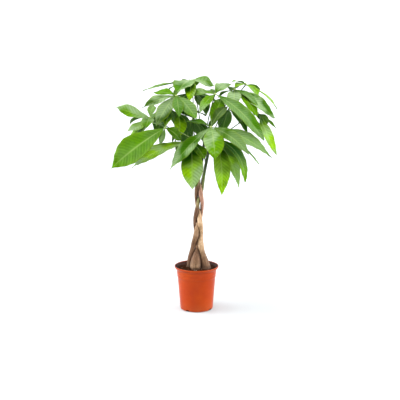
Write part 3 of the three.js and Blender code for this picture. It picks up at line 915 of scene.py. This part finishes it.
def maths(tree, operation, a, b=0.0, c=0.0, clamp=False):
    inputs = {0: a, 1: b, 2: c}
    return node(tree, "Math", inputs, operation=operation, use_clamp=clamp).outputs[0]


def value_of(tree, name):
    return node(tree, "Attribute", attribute_name=name).outputs["Fac"]


def cloudy(tree, scale, place, detail, rough=0.5):
    """Noise between 0 and 1, mostly near 0.5, with lumps about 1 / scale metres wide."""
    inputs = {"Vector": place, "Scale": scale, "Detail": detail, "Roughness": rough}
    return node(tree, "TexNoise", inputs).outputs["Fac"]


def cells(tree, scale, place, feature="F1"):
    """Distance to the middle, or to the edge, of cells about 1 / scale metres wide."""
    inputs = {"Vector": place, "Scale": scale}
    return node(tree, "TexVoronoi", inputs, feature=feature).outputs["Distance"]


def place_of(tree, stretch=(1, 1, 1)):
    coords = node(tree, "TexCoord").outputs["Object"]
    return node(tree, "Mapping", {"Vector": coords, "Scale": stretch}).outputs["Vector"]


def spread(tree, value, low, high, first=0, last=1, kind="LINEAR"):
    """A value from low to high turned into one from first to last."""
    inputs = {"Value": value, "From Min": low, "From Max": high, "To Min": first, "To Max": last}
    return node(tree, "MapRange", inputs, interpolation_type=kind).outputs[0]


def ramp(tree, share, stops):
    n = node(tree, "ValToRGB", {"Fac": share})
    elements = n.color_ramp.elements
    while len(elements) < len(stops):
        elements.new(0.5)
    for element, (at, colour) in zip(elements, stops):
        element.position = at
        element.color = (*colour, 1)
    return n.outputs["Color"]


def shiny(tree, colour, rough, specular, relief=None, strength=0.0, depth=0.0):
    """A Principled shader, with a bump by a relief of a strength and a depth in metres."""
    inputs = {"Base Color": colour, "Roughness": rough, "Specular IOR Level": specular}
    if relief is not None:
        bump = {"Height": relief, "Strength": strength, "Distance": depth}
        inputs["Normal"] = node(tree, "Bump", bump).outputs["Normal"]
    return node(tree, "BsdfPrincipled", inputs).outputs[0]


def leaf_paint(tree):
    place = place_of(tree)
    mottle = cloudy(tree, 38, place, 4, 0.6)
    cloud = cloudy(tree, 15, place, 2)
    net = cells(tree, 520, place, "DISTANCE_TO_EDGE")
    netting = maths(tree, "MULTIPLY", net, 2.2, clamp=True)

    # A leaflet's tone, part its own colour by age and part painted shade, mottled darker and
    # clouded lighter.
    green = ramp(
        tree, value_of(tree, "young"),
        [
            (0, (0.004, 0.028, 0)), (0.25, (0.036, 0.13, 0.001)), (0.5, (0.09, 0.23, 0.001)),
            (0.75, (0.165, 0.355, 0.001)), (1, (0.27, 0.51, 0.002)),
        ],
    )
    deep = mix(tree, 0.45, green, (0.003, 0.03, 0))
    green = mix(tree, (mottle, 0.35, 0.6, 1, 0), green, deep)
    lighter = mix(tree, 0.2, green, (0.22, 0.34, 0.002))
    green = mix(tree, maths(tree, "MULTIPLY", cloud, value_of(tree, "shade")), green, lighter)
    # Painted shade: places that the crown hides from the light are painted darker, and get less
    # painted sheen.
    crown_shade = value_of(tree, "crown_shade")
    green = mix(tree, (crown_shade, 0.35, 0.78), green, (0.004, 0.04, 0))
    # Painted sheen: a pale grey-green laid in cloudy patches, as much as each leaflet's sheen
    # value says, standing for the light that its top reflects.
    sheen_patches = spread(tree, cloud, 0.42, 0.58, 0, 0.95)
    sheen_share = maths(tree, "MULTIPLY", value_of(tree, "bloom"), sheen_patches)
    sheen_share = maths(tree, "MULTIPLY", sheen_share, spread(tree, crown_shade, 0.3, 0.65, 1, 0))
    green = mix(tree, sheen_share, green, (0.26, 0.37, 0.18))
    under = value_of(tree, "under")
    for part, share, tint in (
        (netting, 0.12, (0.01, 0.07, 0)),
        (value_of(tree, "vein"), 0.42, (0.012, 0.07, 0)),
        (value_of(tree, "rib"), 0.65, (0.29, 0.39, 0.11)),
        (value_of(tree, "margin"), 0.3, (0.2, 0.28, 0.02)),
        (under, 0.3, (0.1, 0.2, 0.035)),
    ):
        green = mix(tree, maths(tree, "MULTIPLY", part, share), green, tint)
    stem = ramp(tree, mottle, [(0.3, (0.2, 0.29, 0.07)), (0.75, (0.4, 0.47, 0.2))])
    # Painted shade on the stalks, where the crown hides them from the light.
    stem = mix(tree, (crown_shade, 0.05, 0.5, 0, 0.95), stem, (0.012, 0.06, 0.002))
    green = mix(tree, value_of(tree, "stalk"), green, stem)

    rough = maths(tree, "MULTIPLY_ADD", under, 0.22, spread(tree, mottle, 0.3, 0.7, 0.3, 0.44))
    relief = maths(tree, "MULTIPLY_ADD", netting, 0.35, mottle)
    shader = shiny(tree, green, rough, 0.045, relief, 0.35, 0.0004)
    # Some light comes through the blade.
    glow = mix(tree, 0.35, green, (0.22, 0.5, 0))
    through = node(tree, "BsdfTranslucent", {"Color": glow}).outputs[0]
    return node(tree, "MixShader", {0: 0.3, 1: shader, 2: through}).outputs[0]


def bark_paint(tree):
    streaks = cloudy(tree, 330, place_of(tree, (1, 1, 0.12)), 5, 0.65)
    blotch = cloudy(tree, 42, place_of(tree), 4, 0.6)
    speck = cells(tree, 260, place_of(tree, (1, 1, 0.45)))
    height = value_of(tree, "height")

    wood = ramp(
        tree, streaks,
        [(0.28, (0.125, 0.068, 0.03)), (0.48, (0.285, 0.175, 0.088)), (0.7, (0.445, 0.31, 0.187))],
    )
    pale = mix(tree, 0.5, wood, (0.5, 0.365, 0.245))
    wood = mix(tree, (blotch, 0.5, 0.62), wood, pale)
    brown = mix(tree, 0.6, wood, (0.1, 0.045, 0.018))
    wood = mix(tree, (blotch, 0.3, 0.45, 1, 0), wood, brown)
    wood = mix(tree, (speck, 0.06, 0.16, 0.5, 0), wood, (0.41, 0.33, 0.24))

    # Umber and rosy bark and the green shoot, each where a trunk's tints say.
    umber = ramp(tree, streaks, [(0.3, (0.032, 0.012, 0.004)), (0.7, (0.118, 0.051, 0.019))])
    wood = mix(tree, value_of(tree, "dark"), wood, umber)
    blush = ramp(tree, streaks, [(0.3, (0.16, 0.07, 0.045)), (0.7, (0.33, 0.17, 0.12))])
    wood = mix(tree, value_of(tree, "rosy"), wood, blush)
    shoot = ramp(tree, streaks, [(0.3, (0.037, 0.07, 0.01)), (0.7, (0.12, 0.17, 0.037))])
    shoot = mix(tree, (height, 0.425, 0.45, 0, 0.75), shoot, (0.008, 0.02, 0.006))
    wood = mix(tree, value_of(tree, "green"), wood, shoot)
    # Painted shade where the strands and the soil shut the bark in, and soiled at the foot.
    crease_shade = value_of(tree, "crease_shade")
    wood = mix(tree, (crease_shade, 0.16, 0.58, 0, 0.94), wood, (0.035, 0.014, 0.005))
    wood = mix(tree, (height, 0.131, 0.14, 1, 0), wood, (0.07, 0.035, 0.018))

    relief = maths(tree, "ADD", streaks, blotch)
    return shiny(tree, wood, spread(tree, blotch, 0.3, 0.7, 0.62, 0.82), 0.3, relief, 0.7, 0.0009)


def pot_paint(tree):
    place = place_of(tree)
    rubbed = cloudy(tree, 16, place, 5, 0.6)
    grain = cloudy(tree, 900, place, 2)
    turned = cloudy(tree, 420, place_of(tree, (0.02, 0.02, 1)), 2)
    dust = cloudy(tree, 55, place, 6, 0.7)
    colour = ramp(
        tree, rubbed,
        [(0.3, (0.215, 0.019, 0)), (0.5, (0.24, 0.025, 0)), (0.72, (0.268, 0.034, 0))],
    )
    low = node(tree, "SeparateXYZ", {"Vector": place}).outputs["Z"]
    soiled = maths(tree, "MULTIPLY", spread(tree, low, 0.03, 0, 0, 0.4), dust)
    colour = mix(tree, soiled, colour, (0.22, 0.07, 0.03))
    # A ragged near-black band on the inner wall above the soil, and painted shade on the flat
    # backs of the drain notches.
    ragged = maths(tree, "MULTIPLY_ADD", dust, 0.6, value_of(tree, "inside"))
    inner_dark = spread(tree, ragged, 0.5, 0.85, 0, 0.94)
    colour = mix(tree, inner_dark, colour, (0.006, 0.002, 0.001))
    worn = spread(tree, rubbed, 0.3, 0.7, 0.28, 0.4)
    rough = maths(tree, "MULTIPLY_ADD", inner_dark, 0.4, worn)
    relief = maths(tree, "MULTIPLY_ADD", grain, 0.5, turned)
    return shiny(tree, colour, rough, 0.15, relief, 0.25, 0.0002)


def soil_paint(tree):
    place = place_of(tree)
    crumbs = cloudy(tree, 420, place, 6, 0.75)
    patches = cloudy(tree, 60, place, 3)
    colour = ramp(
        tree, crumbs,
        [(0.3, (0.008, 0.002, 0)), (0.55, (0.032, 0.01, 0.003)), (0.75, (0.09, 0.038, 0.017))],
    )
    colour = mix(tree, maths(tree, "MULTIPLY", patches, 0.5), colour, (0.034, 0.009, 0.003))
    colour = mix(tree, value_of(tree, "grit"), colour, (0.28, 0.22, 0.17))
    return shiny(tree, colour, 0.95, 0.06, crumbs, 0.9, 0.0012)


# ---- pot and soil ----


def pot_piece():
    """The pot turned from its profile, with the drain notches cut out of its foot."""
    angles = np.arange(POT_SEGMENTS) * 2 * pi / POT_SEGMENTS
    # The profile's first and last points lie on the axis, where flat faces close the shape.
    profile = POT_PROFILE[1:-1]
    count = len(profile)
    verts = [(r * cos(a), r * sin(a), z) for r, z in profile for a in angles]
    faces = rings(count, POT_SEGMENTS, closed=False)
    faces.append(tuple(reversed(range(POT_SEGMENTS))))
    faces.append(tuple((count - 1) * POT_SEGMENTS + i for i in range(POT_SEGMENTS)))
    rim = max(range(count), key=lambda ring: profile[ring][1])
    within = [
        float(smooth(*INNER_DARK_HEIGHTS, z)) if ring > rim else 0.0
        for ring, (_, z) in enumerate(profile)
    ]
    shape = Shape(["inside"])
    shape.add(verts, faces, inside=np.repeat(within, POT_SEGMENTS))
    piece = shape.make("pot_shell", material("pot", pot_paint))
    turns = [radians(bearing) for bearing in NOTCH_BEARINGS]
    cutters = []
    for turn in turns:
        bpy.ops.mesh.primitive_cylinder_add(
            vertices=40, radius=NOTCH_RADIUS * MM, depth=NOTCH_LENGTH * MM
        )
        cutter = bpy.context.active_object
        cutter.rotation_euler = (0, pi / 2, turn)
        cutter.scale = (*NOTCH_STRETCH, 1)
        reach = (NOTCH_BACK + NOTCH_LENGTH / 2) * MM
        cutter.location = (reach * cos(turn), reach * sin(turn), 0)
        cutters.append(cutter)
        cut = piece.modifiers.new("notch", "BOOLEAN")
        cut.operation, cut.solver, cut.object = "DIFFERENCE", "EXACT", cutter
    bpy.context.view_layer.update()
    depsgraph = bpy.context.evaluated_depsgraph_get()
    cut_mesh = bpy.data.meshes.new_from_object(piece.evaluated_get(depsgraph))
    piece.modifiers.clear()
    piece.data = cut_mesh
    for cutter in cutters:
        bpy.data.objects.remove(cutter)
    # Painted shade: the flat back of each notch, within 1.6 radii of its middle, is marked to be
    # painted as dark as the soil, standing for the shadow in the hollow behind it.
    darkness = cut_mesh.attributes["inside"].data
    for vertex in cut_mesh.vertices:
        for turn in turns:
            back = NOTCH_BACK * MM * Vector((cos(turn), sin(turn), 0))
            away = vertex.co - back
            on_back = abs(away.dot(back)) < 0.05 * MM * back.length
            if on_back and away.length < 1.6 * NOTCH_RADIUS * MM:
                darkness[vertex.index].value = 1.0
    cut_mesh.polygons.foreach_set("use_smooth", [True] * len(cut_mesh.polygons))
    cut_mesh.set_sharp_from_angle(angle=radians(POT_CORNER))
    return piece


def soil_piece():
    """A heaped, crumbly bed with loose crumbs and a little pale grit on it."""
    shape = Shape(["grit"])
    ring_radii = SOIL_RADIUS * (1 - np.arange(SOIL_RINGS) / SOIL_RINGS) ** 0.85
    angles = np.arange(SOIL_SIDES) * 2 * pi / SOIL_SIDES
    r, a = np.meshgrid(ring_radii, angles, indexing="ij")
    x, y = r * np.cos(a), r * np.sin(a)
    share = 1 - r / SOIL_RADIUS
    z = SOIL_EDGE_HEIGHT + SOIL_CROWN * share + soil_lumps(x, y) * smooth(0, 0.08, share)
    top = np.stack([x, y, z], -1)
    wall = [
        np.stack([radius * np.cos(angles), radius * np.sin(angles), 0 * angles + height], -1)
        for radius, height in SOIL_WALL
    ]
    ends = [[0, 0, SOIL_WALL[0][1]], [0, 0, SOIL_EDGE_HEIGHT + SOIL_CROWN]]
    shape.add(np.vstack([*wall, *top, ends]), rings(len(wall) + SOIL_RINGS, SOIL_SIDES))
    for i in range(CRUMBS):
        turn = pi * draw(i + 0.11)
        radius = SOIL_RADIUS * 0.985 * sqrt(abs(draw(i + 0.37)))
        x, y = radius * cos(turn), radius * sin(turn)
        size = 0.7 + 1.3 * abs(draw(i + 0.71)) ** 2.2
        z = SOIL_EDGE_HEIGHT + SOIL_CROWN * (1 - radius / SOIL_RADIUS) + float(soil_lumps(x, y))
        crumb(shape, (x, y, z + 0.2 * size), size, i)
    return shape.make("soil_bed", material("soil", soil_paint))


def soil_lumps(x, y):
    x, y = np.asarray(x, float), np.asarray(y, float)
    broad = np.sin(0.11 * x - 0.23 * y) / 2 + np.sin(0.31 * x + 1) * np.cos(0.37 * y)
    points = np.stack([x.ravel(), y.ravel(), 0 * x.ravel()], -1)
    fine = noise(points, 5.5, 77).reshape(x.shape)
    return 1.2 * broad + 1.1 * fine


def crumb(shape, place, size, seed):
    """A lopsided lump of soil: a small squashed ball."""
    rows, sides = 5, 7
    x, y, z = place
    verts = []
    for i, v in enumerate(np.linspace(0.35, pi - 0.35, rows)):
        for j in range(sides):
            w = 2 * pi * j / sides
            r = size * (1 + 0.28 * draw(seed * 7.3 + i * 3.1 + j * 1.7))
            flat, rise = r * sin(v), -0.75 * r * cos(v)
            verts.append((x + flat * cos(w), y + flat * sin(w), z + rise))
    verts += [(x, y, z - 0.72 * size), (x, y, z + 0.72 * size)]
    shape.add(verts, rings(rows, sides), grit=0.8 if seed % GRIT_EVERY == 0 else 0.0)


# ---- the plant ----

leaf, bark = material("leaf", leaf_paint), material("bark", bark_paint)

pieces = [(pot_piece(), "pot", "pot"), (soil_piece(), "soil", "soil")]

shapes = [trunk_shape(name, number) for number, name in enumerate(TRUNKS)]
add_crease_shade(shapes)
for name, shape in zip(TRUNKS, shapes):
    pieces.append((shape.make(f"trunk_{name}_bark", bark), f"trunk_{name}", "bark"))

shapes = [frond_shape(name, number) for number, name in enumerate(FRONDS)]
add_crown_shade(shapes)
for name, shape in zip(FRONDS, shapes):
    pieces.append((shape.make(f"frond_{name}_leaves", leaf), f"frond_{name}", "leaf"))

for piece, solid, slot in pieces:
    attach(piece, "root")
    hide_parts(solid)

# ---- studio ----

bpy.ops.mesh.primitive_circle_add(
    vertices=64, radius=FLOOR_RADIUS, fill_type="NGON", location=(0, 0, -FLOOR_DROP)
)
ground = bpy.context.active_object
ground.name = "studio_floor"
white = material("floor_white", lambda tree: shiny(tree, FLOOR_COLOUR, 0.9, 0.1))
ground.data.materials.append(white)

world = bpy.data.worlds.new("studio")
scene.world = world
world.use_nodes = True
sky = world.node_tree
backdrop = sky.nodes["Background"]
backdrop.inputs["Color"].default_value = (1, 1, 1, 1)
# Paler behind, above and at the sides, and dimmer in front, like a tent with soft boxes.
direction = node(sky, "TexCoord").outputs["Generated"]
slope = node(
    sky, "VectorMath", {0: direction, 1: SKY_SLOPE}, operation="DOT_PRODUCT"
).outputs["Value"]
parted = node(sky, "SeparateXYZ", {0: direction})
sideways = maths(sky, "ABSOLUTE", parted.outputs["X"])
paler = maths(sky, "MULTIPLY_ADD", sideways, SKY_SIDES, slope)
tent = spread(sky, paler, *SKY_RANGE, SKY_DIM, SKY_BRIGHT, "SMOOTHSTEP")
tent = maths(sky, "ADD", tent, spread(sky, sideways, *SIDE_BOX, 0, SIDE_BOX_POWER))
# A bright band at the floor's edge, so that the backdrop is white from every side.
level = maths(sky, "ABSOLUTE", parted.outputs["Z"])
tent = maths(sky, "MAXIMUM", tent, spread(sky, level, *HORIZON, HORIZON_POWER, 0))
sky.links.new(tent, backdrop.inputs["Strength"])

for name, (source, power, width) in LIGHTS.items():
    light = bpy.data.lights.new(name, "SUN")
    light.energy = power
    light.angle = radians(width)
    light.color = LIGHT_COLOUR
    lamp = placed(name, light)
    lamp.rotation_euler = (-Vector(source)).to_track_quat("-Z", "Y").to_euler()

camera_data = bpy.data.cameras.new("camera")
camera_data.sensor_width = CAMERA_WIDTH
camera_data.lens = CAMERA_WIDTH * CAMERA_FOCUS
camera = placed("camera", camera_data)
camera.location = CAMERA_PLACE
camera.rotation_euler = (radians(90 - CAMERA_TILT), 0, 0)
scene.camera = camera
scene.view_settings.view_transform = "Standard"
